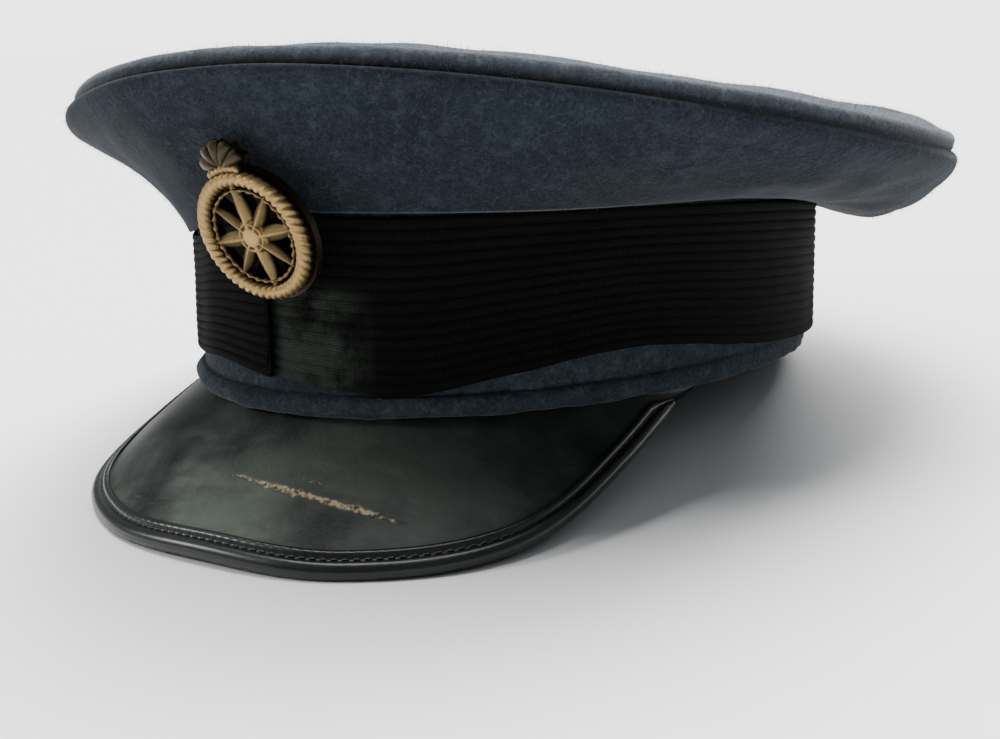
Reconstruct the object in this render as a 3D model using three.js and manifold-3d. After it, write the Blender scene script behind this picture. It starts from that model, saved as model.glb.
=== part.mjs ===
// Peaked service cap: a flared wool crown on a stiff wool-covered head band, a black ribbed band
// wound round it, a leather peak with a folded binding, and a brass badge in front.
//
// Millimetres, +Z up. The cap stands by itself on the floor z = 0, on the front edge of its peak
// and on the back of its rim. The front faces -Y and the wearer's left is +X.
//
// Every piece is worked out in the cap's own frame, whose origin is the centre of the head opening
// at the black band's lower edge. The whole cap is then tipped back by TIP, so that the peak's edge
// and the back of the rim lie on the floor.
//
// A "turn" is the angle round the head from the front, growing towards the wearer's left.

import * as THREE from 'three';
import { mergeVertices } from 'three/addons/utils/BufferGeometryUtils.js';
import Module from 'manifold-3d';

// ---------------------------------------------------------------- driving dimensions

const GAP = 0.3; // left between pieces that touch

const HEAD_HALF_WIDTH = 77.2; // inner face of the head band, across the head
const HEAD_HALF_LENGTH = 101.6; // inner face of the head band, front to back
const BASE_THICKNESS = 3.0; // stiffening and two layers of wool
const BASE_TOP = 43.0; // height of the head band's upper edge
const RIM_DROP = 4.0; // the rim's bottom below the frame's origin, on average
const RIM_SADDLE = 1.2; // the rim is this much lower at front and back, higher at the sides
const RIM_BULGE = 0.9; // how far the rolled rim stands out from the head band, on average
const RIM_BULGE_FRONT = 1.7; // it stands out this much more in front, where it lies on the peak
const RIM_BULGE_LEAST = 0.3; // at the back
const RIM_ROLL = 5.0; // height of the roll
const RIM_EDGE = 0.8; // the rim's bottom edge is cut off by this inside

const CLOTH = 2.0; // thickness of the crown's wool cloth
const SEAM_EDGE = new THREE.Vector2(-CLOTH * 0.8, -CLOTH * 0.8); // both panels' edges run in like this
const SEAM_HALF_WIDTH = 121.0; // the seam ring between crown side and crown top
const SEAM_HALF_LENGTH = 119.0;
const SEAM_SHIFT = -4.6; // its centre lies forward of the head's centre
const SEAM_HEIGHT = 59.8;
const SEAM_PITCH = 7.8; // higher by this at the front, lower by this at the back
const SEAM_SADDLE = 6.0; // higher by this at front and back, lower by this at the sides
const TOP_DOME = 2.2; // rise of the top panel from its shoulder to its middle
const TOP_SHOULDER = 7.8; // rise of the rounded shoulder just inside the seam, on average
const SHOULDER_ROUND = 13; // the higher, the closer to the seam the shoulder turns down
const SHOULDER_SLOUCH = 1.0; // the shoulder is this much higher at the back, lower at the front
// The crown is fullest behind the ears and, half as much, beside the right temple: wider by a
// share, and with a higher shoulder.
const CORNERS = [
  { at: -225, full: 1 },
  { at: -135, full: 1 },
  { at: -75, full: 0.5 },
  { at: 135, full: 1 },
  { at: 225, full: 1 },
];
const CORNER_SPREAD = 36; // degrees
const CORNER_WIDER = 0.01;
const CORNER_HIGHER = 5.0;

// How the side panel runs from the band to the seam, at angles round the head in degrees. Its
// foot is at a height on the band. It leaves towards a point "out" beyond the foot and "rise"
// above it, and comes to the seam from a point "bulge" outside the seam and "lift" above it.
const CROWN_SIDE = [
  { at: -180, foot: 42.0, out: 16, rise: -20, bulge: 15, lift: -2 },
  { at: -150, foot: 42.0, out: 18, rise: -22, bulge: 12, lift: -3 },
  { at: -115, foot: 42.0, out: 20, rise: -22, bulge: 10, lift: -4 },
  { at: -80, foot: 40.5, out: 18, rise: -2, bulge: 10, lift: -4 },
  { at: -52, foot: 37.4, out: 7.5, rise: 14.5, bulge: 11, lift: -6 },
  { at: -32, foot: 36.6, out: 6, rise: 16.5, bulge: 11, lift: -5 },
  { at: -12, foot: 40.8, out: 8, rise: 14, bulge: 9, lift: -2 },
  { at: 0, foot: 42.2, out: 10, rise: 12, bulge: 9, lift: 0 },
  { at: 12, foot: 41.8, out: 11, rise: 11, bulge: 9, lift: -1 },
  { at: 40, foot: 41.4, out: 14, rise: 9, bulge: 9, lift: -3 },
  { at: 70, foot: 42.0, out: 16, rise: 1, bulge: 9, lift: -5 },
  { at: 90, foot: 42.3, out: 18, rise: -8, bulge: 9, lift: -5 },
  { at: 115, foot: 42.0, out: 20, rise: -22, bulge: 10, lift: -5 },
  { at: 150, foot: 42.0, out: 18, rise: -22, bulge: 12, lift: -3 },
  { at: 180, foot: 42.0, out: 16, rise: -20, bulge: 15, lift: -2 },
];

const STRIP_THICKNESS = 1.2;
const STRIP_START = -14; // degrees: where the strip starts, under its own end
const STRIP_END = 359; // degrees: it runs round by the wearer's left and laps over its start
const STRIP_LIFT = { from: 332, to: 344 }; // degrees: there it rises onto its own start
const SLIDER_ROOM = 9; // degrees: it stands off for the badge's slider about this far each way
// The strip wanders round the head: heights of its lower and upper edge above the origin, and how
// far it stands off the head band, at degrees from the front.
const STRIP_EDGE = [
  { at: -30, low: 5.0, top: 34.6, stand_off: 0 },
  { at: -15, low: 6.0, top: 37.6, stand_off: 0 },
  { at: 0, low: 3.7, top: 40.5, stand_off: 0 },
  { at: 21, low: 0.5, top: 40.6, stand_off: 0 },
  { at: 38, low: 5.2, top: 41.0, stand_off: 0 },
  { at: 57, low: 8.8, top: 41.2, stand_off: 0 },
  { at: 83, low: 4.3, top: 40.6, stand_off: 0.6 },
  { at: 115, low: 0.8, top: 38.2, stand_off: 1.7 },
  { at: 140, low: 0.8, top: 37.2, stand_off: 1.5 },
  { at: 180, low: 1.5, top: 37.2, stand_off: 1.0 },
  { at: 250, low: 4.0, top: 38.4, stand_off: 0.2 },
  { at: 300, low: 4.6, top: 35.8, stand_off: 0 },
  { at: 330, low: 4.8, top: 34.6, stand_off: 0 },
  { at: 345, low: 6.4, top: 37.6, stand_off: 0 },
  { at: 360, low: 3.7, top: 40.5, stand_off: 0 },
];

const PEAK_THICKNESS = 2.2;
const PEAK_HALF_SPAN = 68; // degrees from the front to each corner of the peak
const PEAK_ROOT = 2.2; // the peak's upper face leaves the rim this far out from the band's inner face
const PEAK_TUCK = 4; // how far the peak reaches in under the rim
// Half of the peak, at shares of the way from its middle to a corner: its width from the rim to
// the edge, and how many degrees it falls below the band's plane.
const PEAK_FORM = [
  { at: -0.25, width: 41.4, slope: 37.6 },
  { at: 0, width: 39.8, slope: 38.4 },
  { at: 0.25, width: 41.4, slope: 37.6 },
  { at: 0.5, width: 36.2, slope: 37.2 },
  { at: 0.75, width: 16.0, slope: 42.0 },
  { at: 0.9, width: 5.0, slope: 50.0 },
  { at: 1, width: 0.5, slope: 60.0 },
];

const BINDING_THICKNESS = 0.9;
const BINDING_LEG = 5.2; // how far the binding reaches in from the peak's edge
const BINDING_SPAN = 0.92; // share of the peak's span that the binding covers
const BINDING_CLEAR = 2.5; // the binding's inner edge stays this far from the rim

const FLATTEN = 0.6; // the rim's back and the peak's edge are pressed flat by this on the floor

// Brass badge: a flat openwork plate leaning on the band and the crown, with a slider behind it.
const BADGE_LEAN = THREE.MathUtils.degToRad(21);
const BADGE_TURN = THREE.MathUtils.degToRad(9); // its foot swings to the wearer's left
const BADGE_FOOT = { x: 7.0, y: -110.4, z: 23.4 }; // back face of the plate, lowest point
const BADGE_THICKNESS = 1.6;
const OVAL = { halfWidth: 15.8, halfHeight: 15.8, band: 4.0 }; // the ring round the star
const STAR_RAYS = 8;
const STAR_VALLEY = 4.6; // distance of the notches between the rays from the star's centre
const RAY_HALF_ANGLE = 7; // degrees, where a ray meets the ring
const FAN = { radius: 5.6, lobes: 5, stalk: 2.8 }; // the little fan on top
const SLIDER = { width: 8, thickness: 0.6, bottom: 22 };

const RING_STEPS = 72; // faces round the crown and the head band
const SIDE_STEPS = 10; // faces up the crown's side
const SEAM_PRESSED = 3; // the last points of its inner face, kept below the top panel's edge

// ---------------------------------------------------------------- tables and frames

/** A table's named column at an angle: a smooth curve through the rows. */
function column(table, name, at) {
  let row = 0;
  while (row < table.length - 2 && at > table[row + 1].at) row += 1;
  const before = table[Math.max(row - 1, 0)];
  const from = table[row];
  const to = table[row + 1];
  const after = table[Math.min(row + 2, table.length - 1)];
  const span = to.at - from.at;
  const leaving = ((to[name] - before[name]) / (to.at - before.at)) * span;
  const arriving = ((after[name] - from[name]) / (after.at - from.at)) * span;
  const s = (at - from.at) / span;
  const bend = (leaving * (1 - s) - arriving * s) * s * (1 - s);
  const blend = s * s * (3 - 2 * s);
  return from[name] + (to[name] - from[name]) * blend + bend;
}

/** A point outside the head band's inner face by "out", at a height. */
function bandPoint(turn, out, height) {
  const x = HEAD_HALF_WIDTH * Math.sin(turn);
  const y = -HEAD_HALF_LENGTH * Math.cos(turn);
  const normal = new THREE.Vector2(x / HEAD_HALF_WIDTH ** 2, y / HEAD_HALF_LENGTH ** 2).normalize();
  return new THREE.Vector3(x + normal.x * out, y + normal.y * out, height);
}

/** Height of the rim's bottom round the head. */
function rimBottom(turn) {
  return -RIM_DROP - RIM_SADDLE * Math.cos(2 * turn);
}

/** An angle from the front, in degrees from -180 to 180. */
function fromFront(turn) {
  const degrees = THREE.MathUtils.radToDeg(turn);
  return degrees > 180 ? degrees - 360 : degrees;
}

/** How near a turn is to one of the crown's full corners, from 0 to 1. */
function fullness(turn) {
  return CORNERS.reduce((sum, corner) => (
    sum + corner.full * Math.exp(-(((fromFront(turn) - corner.at) / CORNER_SPREAD) ** 2))), 0);
}

/** Height of the crown's top panel at a share of the way from its middle to the seam. */
function topHeight(turn, share) {
  const lean = SEAM_PITCH * Math.cos(turn) * share;
  const saddle = SEAM_SADDLE * Math.cos(2 * turn) * share ** 2;
  const shoulder = TOP_SHOULDER - SHOULDER_SLOUCH * Math.cos(turn) * share
    + CORNER_HIGHER * fullness(turn) * share ** 2;
  const rounded = Math.sqrt(Math.max(1 - share ** SHOULDER_ROUND, 0));
  return SEAM_HEIGHT + lean + saddle + TOP_DOME * (1 - share ** 2) + shoulder * rounded;
}

/** A point of the top panel's outer face. */
function topPoint(turn, share) {
  const reach = share * (1 + CORNER_WIDER * fullness(turn));
  const x = SEAM_HALF_WIDTH * Math.sin(turn) * reach;
  const y = SEAM_SHIFT - SEAM_HALF_LENGTH * Math.cos(turn) * reach;
  return new THREE.Vector3(x, y, topHeight(turn, share));
}

// The floor touches the back of the rim and the two lowest places of the peak's edge.
const backContact = bandPoint(Math.PI, BASE_THICKNESS / 2, rimBottom(Math.PI));
const TIP = Math.max(...Array.from({ length: 21 }, (_, i) => {
  const edge = peakContact(i / 20);
  return Math.atan2(backContact.z - edge.z, backContact.y - edge.y);
}));
const standing = new THREE.Matrix4().makeRotationX(-TIP);
const lying = standing.clone().invert();
const floorLevel = backContact.clone().applyMatrix4(standing).z + FLATTEN;

/** Cloth and leather that reach below the floor lie flat on it. */
function settled(point) {
  const stood = point.clone().applyMatrix4(standing);
  stood.z = Math.max(stood.z, floorLevel);
  return stood.applyMatrix4(lying);
}

// ---------------------------------------------------------------- closed solids from sections

/** A closed solid from corner points and triangles, turned so that its faces point out. */
function solid(corners, triangles) {
  const faces = triangles.filter(([a, b, c]) => {
    const sides = [corners[a].distanceTo(corners[b]), corners[b].distanceTo(corners[c]),
      corners[c].distanceTo(corners[a])];
    return Math.min(...sides) > 1e-4;
  });
  let volume = 0;
  for (const [a, b, c] of faces) {
    volume += corners[a].dot(new THREE.Vector3().crossVectors(corners[b], corners[c]));
  }
  const order = volume > 0 ? faces : faces.map(([a, b, c]) => [a, c, b]);
  const geometry = new THREE.BufferGeometry();
  geometry.setAttribute('position', new THREE.Float32BufferAttribute(
    corners.flatMap((corner) => [corner.x, corner.y, corner.z]), 3));
  geometry.setIndex(order.flat());
  return mergeVertices(geometry, 1e-3);
}

/** Sections joined one to the next. Without caps the last one joins the first. */
function loft(sections, caps) {
  const size = sections[0].length;
  const triangles = [];
  const last = caps ? sections.length - 1 : sections.length;
  for (let i = 0; i < last; i += 1) {
    const here = i * size;
    const next = ((i + 1) % sections.length) * size;
    for (let k = 0; k < size; k += 1) {
      const k2 = (k + 1) % size;
      triangles.push([here + k, next + k, next + k2], [here + k, next + k2, here + k2]);
    }
  }
  if (caps) {
    const end = (sections.length - 1) * size;
    for (const [a, b, c] of caps) triangles.push([a, b, c], [end + a, end + c, end + b]);
  }
  return solid(sections.flat(), triangles);
}

/** Triangles that close a section whose outline is given in its own plane. */
function capsOf(outline) {
  return THREE.ShapeUtils.triangulateShape(outline, []);
}

/** The angles round a whole ring. */
function turns(steps) {
  return Array.from({ length: steps }, (_, i) => (i / steps) * 2 * Math.PI);
}

/** A line moved sideways to its left by a thickness, keeping that thickness at its bends. */
function offsetLine(line, thickness) {
  return line.map((point, i) => {
    const back = line[Math.max(i - 1, 0)];
    const on = line[Math.min(i + 1, line.length - 1)];
    const arrive = i > 0 ? point.clone().sub(back).normalize() : on.clone().sub(point).normalize();
    const leave = i < line.length - 1 ? on.clone().sub(point).normalize() : arrive;
    const along = arrive.clone().add(leave).normalize();
    const stretch = 1 / Math.max(along.dot(leave), 0.6);
    const reach = thickness * stretch;
    return new THREE.Vector2(point.x - along.y * reach, point.y + along.x * reach);
  });
}

// ---------------------------------------------------------------- crown

/** Side panel at one turn: away from the band, round the crown's edge and in to the seam. */
function crownSideSection(turn) {
  const at = fromFront(turn);
  const [footHeight, out, rise, bulge, lift] = ['foot', 'out', 'rise', 'bulge', 'lift']
    .map((name) => column(CROWN_SIDE, name, at));
  const steepness = Math.max(rise, 0) / Math.hypot(out, rise);
  const foot = bandPoint(turn, BASE_THICKNESS + GAP + CLOTH * steepness, footHeight);
  const seam = topPoint(turn, 1);
  const outward = new THREE.Vector3(seam.x - foot.x, seam.y - foot.y, 0);
  const reach = outward.length();
  outward.normalize();
  const sweep = new THREE.CubicBezierCurve(
    new THREE.Vector2(0, foot.z),
    new THREE.Vector2(out, foot.z + rise),
    new THREE.Vector2(reach + bulge, seam.z + lift),
    new THREE.Vector2(reach + GAP / 2, seam.z - GAP / 2),
  );
  const outer = sweep.getPoints(SIDE_STEPS);
  const inner = offsetLine(outer, CLOTH);
  const edge = outer[outer.length - 1];
  for (const point of inner.slice(-SEAM_PRESSED)) {
    point.y = Math.min(point.y, edge.y - GAP / 2 + Math.min(point.x - edge.x, 0));
  }
  inner[inner.length - 1].copy(edge).add(SEAM_EDGE);
  return [...outer, ...inner.reverse()].map((p) => new THREE.Vector3(
    foot.x + outward.x * p.x, foot.y + outward.y * p.x, p.y));
}

function crownSide() {
  return loft(turns(RING_STEPS).map(crownSideSection));
}

/** Top panel: a domed disc of cloth whose rounded shoulder drops to the seam. */
function crownTop() {
  const shares = [0, 0.4, 0.66, 0.82, 0.91, 0.96, 0.988, 1];
  return loft(turns(RING_STEPS).map((turn) => {
    const rim = topPoint(turn, 1);
    const radius = Math.hypot(rim.x, rim.y - SEAM_SHIFT) - GAP / 2;
    const upper = shares.map((share) => new THREE.Vector2(share * radius, topHeight(turn, share)));
    upper[upper.length - 1].y += GAP / 2;
    const lower = offsetLine(upper, -CLOTH);
    lower[0].set(0, upper[0].y - CLOTH);
    lower[lower.length - 1].copy(upper[upper.length - 1]).add(SEAM_EDGE);
    const across = rim.x / Math.hypot(rim.x, rim.y - SEAM_SHIFT);
    const forward = (rim.y - SEAM_SHIFT) / Math.hypot(rim.x, rim.y - SEAM_SHIFT);
    return [...upper, ...lower.reverse()].map((p) => new THREE.Vector3(
      across * p.x, SEAM_SHIFT + forward * p.x, p.y));
  }));
}

// ---------------------------------------------------------------- head band

/** Head band: straight inside, straight outside, with a roll round its lower edge. */
function bandBase() {
  return loft(turns(RING_STEPS).map((turn) => {
    const bottom = rimBottom(turn);
    const bulge = Math.max(RIM_BULGE + RIM_BULGE_FRONT * Math.cos(turn), RIM_BULGE_LEAST);
    const rollSteps = 6;
    const roll = Array.from({ length: rollSteps + 1 }, (_, i) => {
      const angle = Math.PI * (0.5 - i / rollSteps);
      const out = BASE_THICKNESS + bulge * Math.cos(angle);
      return [out, bottom + (RIM_ROLL / 2) * (1 + Math.sin(angle))];
    });
    const outline = [[0, bottom + RIM_EDGE], [0, BASE_TOP], [BASE_THICKNESS, BASE_TOP], ...roll,
      [RIM_EDGE, bottom]];
    return outline.map(([out, height]) => settled(bandPoint(turn, out, height)));
  }));
}

/** How far the black band stands off the head band, at degrees from its place in front. */
function stripStandOff(at) {
  const aroundFront = at > 180 ? at - 360 : at;
  const sliderRoom = (SLIDER.thickness + GAP * 2) * Math.exp(-((aroundFront / SLIDER_ROOM) ** 2));
  const lapped = THREE.MathUtils.smoothstep(at, STRIP_LIFT.from, STRIP_LIFT.to);
  const lap = lapped * (STRIP_THICKNESS + GAP);
  return GAP + column(STRIP_EDGE, 'stand_off', at) + sliderRoom + lap;
}

/** Black band: one flat strip wound round the head band. */
function capBand() {
  const steps = 86;
  const sections = Array.from({ length: steps + 1 }, (_, i) => {
    const at = STRIP_START + ((STRIP_END - STRIP_START) * i) / steps;
    const turn = THREE.MathUtils.degToRad(at);
    const inner = BASE_THICKNESS + stripStandOff(at);
    const outer = inner + STRIP_THICKNESS;
    const low = column(STRIP_EDGE, 'low', at);
    const top = column(STRIP_EDGE, 'top', at);
    return [[inner, low], [outer, low], [outer, top], [inner, top]]
      .map(([out, height]) => bandPoint(turn, out, height));
  });
  return loft(sections, [[0, 1, 2], [0, 2, 3]]);
}

// ---------------------------------------------------------------- peak

/** The peak at a share of its span, from -1 at one corner to 1 at the other. */
function peakFrame(share) {
  const turn = THREE.MathUtils.degToRad(PEAK_HALF_SPAN * share);
  const root = bandPoint(turn, PEAK_ROOT, rimBottom(turn) - GAP);
  const outward = bandPoint(turn, 1, 0).sub(bandPoint(turn, 0, 0));
  const slope = THREE.MathUtils.degToRad(column(PEAK_FORM, 'slope', Math.abs(share)));
  const up = new THREE.Vector3(0, 0, 1);
  const along = outward.clone().multiplyScalar(Math.cos(slope)).addScaledVector(up, -Math.sin(slope));
  const normal = outward.clone().multiplyScalar(Math.sin(slope)).addScaledVector(up, Math.cos(slope));
  const width = column(PEAK_FORM, 'width', Math.abs(share));
  return { root, outward, along, normal, width, up };
}

/** Shares of the peak's span at which the binding and the peak under it have a section. */
function bindingShares() {
  const steps = 40;
  return Array.from({ length: steps + 1 }, (_, i) => BINDING_SPAN * ((2 * i) / steps - 1));
}

/** The lowest point of the peak's bound edge, at a share of its span. */
function peakContact(share) {
  const { root, along, normal, width } = peakFrame(share);
  const round = PEAK_THICKNESS / 2 + GAP + BINDING_THICKNESS;
  return root.addScaledVector(along, width + GAP + BINDING_THICKNESS - round)
    .addScaledVector(normal, -PEAK_THICKNESS / 2).add(new THREE.Vector3(0, 0, -round));
}

/** Leather peak: flat where it is sewn under the rim, then falling away to its edge. */
function peak() {
  const sections = [-1, ...bindingShares(), 1].map((share) => {
    const { root, outward, along, normal, width } = peakFrame(share);
    const tuck = root.clone().addScaledVector(outward, -PEAK_TUCK);
    const upper = [tuck, root];
    for (const part of [0.5, 1]) upper.push(root.clone().addScaledVector(along, width * part));
    const lower = upper.map((point) => (point === tuck
      ? point.clone().add(new THREE.Vector3(0, 0, -PEAK_THICKNESS))
      : point.clone().addScaledVector(normal, -PEAK_THICKNESS)));
    return [...upper, ...lower.reverse()].map(settled);
  });
  const caps = [[0, 1, 7], [1, 6, 7], [1, 2, 6], [2, 5, 6], [2, 3, 5], [3, 4, 5]];
  return loft(sections, caps);
}

/** Binding: a strip of leather folded over the peak's edge, thick and round outside. */
function peakBinding() {
  const round = PEAK_THICKNESS / 2 + GAP + BINDING_THICKNESS;
  const roundCentre = GAP + BINDING_THICKNESS - round;
  const outlineAt = (leg) => {
    const under = -PEAK_THICKNESS - GAP;
    const outline = [[-leg, GAP], [GAP, GAP], [GAP, under], [-leg, under]];
    outline.push([-leg, under - BINDING_THICKNESS]);
    const arcSteps = 6;
    for (let k = 0; k <= arcSteps; k += 1) {
      const angle = Math.PI * (k / arcSteps - 0.5);
      outline.push([roundCentre + round * Math.cos(angle), round * Math.sin(angle) - PEAK_THICKNESS / 2]);
    }
    outline.push([-leg, GAP + BINDING_THICKNESS]);
    return outline.map(([out, height]) => new THREE.Vector2(out, height));
  };
  const sections = bindingShares().map((share) => {
    const { root, along, normal, width } = peakFrame(share);
    const edge = root.clone().addScaledVector(along, width);
    const leg = Math.min(BINDING_LEG, width - BINDING_CLEAR);
    return outlineAt(leg).map((p) => settled(
      edge.clone().addScaledVector(along, p.x).addScaledVector(normal, p.y)));
  });
  return loft(sections, capsOf(outlineAt(BINDING_LEG)));
}

// ---------------------------------------------------------------- badge

/** Points along a circle or an oval, at angles in degrees from the right, anticlockwise. */
function ovalPoint(halfWidth, halfHeight, degrees) {
  const angle = THREE.MathUtils.degToRad(degrees);
  return new THREE.Vector2(halfWidth * Math.cos(angle), halfHeight * Math.sin(angle));
}

/** An extruded plate as a solid that can be joined to others. */
function manifoldOf(geometry, wasm) {
  const bare = new THREE.BufferGeometry();
  bare.setAttribute('position', geometry.getAttribute('position').clone());
  if (geometry.index) bare.setIndex(geometry.index.clone());
  const merged = mergeVertices(bare, 1e-4);
  return new wasm.Manifold(new wasm.Mesh({
    numProp: 3,
    vertProperties: new Float32Array(merged.getAttribute('position').array),
    triVerts: new Uint32Array(merged.index.array),
  }));
}

/** The oval ring with an eight-pointed star in it: an oval plate with an opening between rays. */
function starPlate() {
  const { halfWidth, halfHeight, band } = OVAL;
  const plate = new THREE.Shape().absellipse(0, 0, halfWidth, halfHeight, 0, 2 * Math.PI);
  for (let ray = 0; ray < STAR_RAYS; ray += 1) {
    const from = (ray * 360) / STAR_RAYS + RAY_HALF_ANGLE;
    const to = ((ray + 1) * 360) / STAR_RAYS - RAY_HALF_ANGLE;
    const middle = (from + to) / 2;
    const opening = [from, middle, to].map((at) => ovalPoint(halfWidth - band, halfHeight - band, at));
    opening.push(ovalPoint(STAR_VALLEY, STAR_VALLEY, middle));
    plate.holes.push(new THREE.Path(opening));
  }
  return new THREE.ExtrudeGeometry(plate, {
    depth: BADGE_THICKNESS, bevelEnabled: false, curveSegments: 24 });
}

/** The fan: lobes side by side on a stalk that runs into the oval. */
function fanPlate() {
  const outline = [new THREE.Vector2(FAN.stalk, 0)];
  const steps = FAN.lobes * 4;
  for (let i = 0; i <= steps; i += 1) {
    const lobe = 1 - 0.12 * Math.cos((i / steps) * FAN.lobes * 2 * Math.PI);
    outline.push(ovalPoint(FAN.radius * lobe, FAN.radius * lobe, (i / steps) * 180).add(
      new THREE.Vector2(0, FAN.stalk)));
  }
  outline.push(new THREE.Vector2(-FAN.stalk, 0));
  const fan = new THREE.ExtrudeGeometry(new THREE.Shape(outline), {
    depth: BADGE_THICKNESS, bevelEnabled: false });
  return fan.translate(0, OVAL.halfHeight - FAN.stalk, 0);
}

/** The slider: a flat strip from the plate's back, over the black band's edge and down behind it. */
function sliderPlate() {
  const behind = -HEAD_HALF_LENGTH - BASE_THICKNESS - GAP;
  const over = column(STRIP_EDGE, 'top', 0) + GAP;
  const plateBack = BADGE_FOOT.y - (over - BADGE_FOOT.z) * Math.tan(BADGE_LEAN);
  const outline = [
    [behind, SLIDER.bottom], [behind, over + SLIDER.thickness],
    [plateBack - BADGE_THICKNESS / 2, over + SLIDER.thickness], [plateBack - BADGE_THICKNESS / 2, over],
    [behind - SLIDER.thickness, over], [behind - SLIDER.thickness, SLIDER.bottom],
  ].map(([y, z]) => new THREE.Vector2(y, z));
  const strip = new THREE.ExtrudeGeometry(new THREE.Shape(outline), {
    depth: SLIDER.width, bevelEnabled: false });
  // the outline lies in the cap's middle plane and is pushed out along the width
  strip.applyMatrix4(new THREE.Matrix4().makeBasis(
    new THREE.Vector3(0, 1, 0), new THREE.Vector3(0, 0, 1), new THREE.Vector3(1, 0, 0)));
  return strip.translate(-SLIDER.width / 2, 0, 0);
}

/** Brass badge, one soldered piece in the cap's own frame. */
function badge(wasm) {
  // the plate's own frame: x across, y up the plate, its thickness towards the front
  const place = new THREE.Matrix4().makeTranslation(BADGE_FOOT.x, BADGE_FOOT.y, BADGE_FOOT.z)
    .multiply(new THREE.Matrix4().makeRotationX(Math.PI / 2 + BADGE_LEAN))
    .multiply(new THREE.Matrix4().makeRotationZ(BADGE_TURN))
    .multiply(new THREE.Matrix4().makeTranslation(0, OVAL.halfHeight, 0));
  const star = manifoldOf(starPlate().applyMatrix4(place), wasm);
  const fan = manifoldOf(fanPlate().applyMatrix4(place), wasm);
  const joined = star.add(fan).add(manifoldOf(sliderPlate(), wasm)).getMesh();
  const geometry = new THREE.BufferGeometry();
  geometry.setAttribute('position', new THREE.Float32BufferAttribute(joined.vertProperties, 3));
  geometry.setIndex(Array.from(joined.triVerts));
  return geometry;
}

// ---------------------------------------------------------------- the cap

const WOOL = { color: 0x46525e, roughness: 0.95, metalness: 0 };
const RIBBED = { color: 0x0c0c0c, roughness: 0.85, metalness: 0 };
const LEATHER = { color: 0x30363a, roughness: 0.35, metalness: 0 };
const BRASS = { color: 0x94774a, roughness: 0.45, metalness: 1 };

const wasm = await Module();
wasm.setup();

const cap = new THREE.Group();
const pieces = [
  ['crown_top', crownTop(), WOOL],
  ['crown_side', crownSide(), WOOL],
  ['band_base', bandBase(), WOOL],
  ['cap_band', capBand(), RIBBED],
  ['peak', peak(), LEATHER],
  ['peak_binding', peakBinding(), LEATHER],
  ['badge', badge(wasm), BRASS],
];
for (const [name, geometry, finish] of pieces) {
  geometry.computeVertexNormals();
  const mesh = new THREE.Mesh(geometry, new THREE.MeshStandardMaterial(finish));
  mesh.name = name;
  cap.add(mesh);
}

// tipped back onto the floor, with the middle of its outline over the origin
cap.rotation.x = -TIP;
cap.updateMatrixWorld(true);
const outline = new THREE.Box3().setFromObject(cap, true);
cap.position.set(0, -(outline.min.y + outline.max.y) / 2, -floorLevel);

export default cap;
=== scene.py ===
import bpy
import numpy as np
from mathutils import Matrix, Vector


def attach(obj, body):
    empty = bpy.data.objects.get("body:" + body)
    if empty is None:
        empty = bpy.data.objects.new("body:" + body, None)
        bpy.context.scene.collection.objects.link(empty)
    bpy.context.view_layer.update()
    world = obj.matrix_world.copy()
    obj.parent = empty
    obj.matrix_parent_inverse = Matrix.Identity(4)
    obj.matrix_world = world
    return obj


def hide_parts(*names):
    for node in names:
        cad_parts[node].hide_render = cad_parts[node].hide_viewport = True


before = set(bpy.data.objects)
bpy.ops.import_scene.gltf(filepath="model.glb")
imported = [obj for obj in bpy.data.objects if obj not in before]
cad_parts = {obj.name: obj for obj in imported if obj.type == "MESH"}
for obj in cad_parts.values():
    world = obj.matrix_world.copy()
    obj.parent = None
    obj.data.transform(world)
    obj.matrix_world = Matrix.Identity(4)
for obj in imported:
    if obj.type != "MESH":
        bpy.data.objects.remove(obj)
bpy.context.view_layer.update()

# ---------------------------------------------------------------- the view, the table and the light
# The cap stands on a pale table and is looked at from a little above its peak, on the wearer's
# left. Soft daylight comes from above and behind, and some from a window on the wearer's right.

VIEW_PLACE = (0.196441, -0.305290, 0.110768)
VIEW_RIGHT = (0.84307, 0.53157, -0.08167)
VIEW_UP = (-0.08161, 0.27654, 0.95753)
VIEW_BACK = (0.53158, -0.80060, 0.27652)


def in_the_scene(name, data):
    """An object of a mesh, a lamp or a camera."""
    thing = bpy.data.objects.new(name, data)
    bpy.context.scene.collection.objects.link(thing)
    return thing


def new_material(name, **surface):
    """A material with some values set on its surface, its node tree and the surface's inputs."""
    material = bpy.data.materials.new(name)
    material.use_nodes = True
    inputs = material.node_tree.nodes["Principled BSDF"].inputs
    for key, value in surface.items():
        inputs[key.replace("_", " ")].default_value = value
    return material, material.node_tree, inputs


def node(tree, kind, inputs, **settings):
    """One shader node: its settings, and for each named input a number, a colour or a link."""
    made = tree.nodes.new(kind)
    for key, value in settings.items():
        setattr(made, key, value)
    for key, value in inputs.items():
        socket = made.inputs[key]
        if isinstance(value, bpy.types.NodeSocket):
            tree.links.new(value, socket)
        else:
            socket.default_value = value
    return made


camera = in_the_scene("view", bpy.data.cameras.new("view"))
camera.data.sensor_width = 36.0
camera.data.lens = 44.705
camera.data.clip_start = 0.01
camera.matrix_world = Matrix(
    [(*axes, place) for axes, place in zip(zip(VIEW_RIGHT, VIEW_UP, VIEW_BACK), VIEW_PLACE)]
    + [(0, 0, 0, 1)])
bpy.context.scene.camera = camera

bpy.ops.mesh.primitive_plane_add(size=60.0)
table = bpy.context.object
table.name = "table"
table_paint, _, _ = new_material("table_paint", Base_Color=(0.93, 0.93, 0.93, 1), Roughness=0.9)
table.data.materials.append(table_paint)

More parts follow.
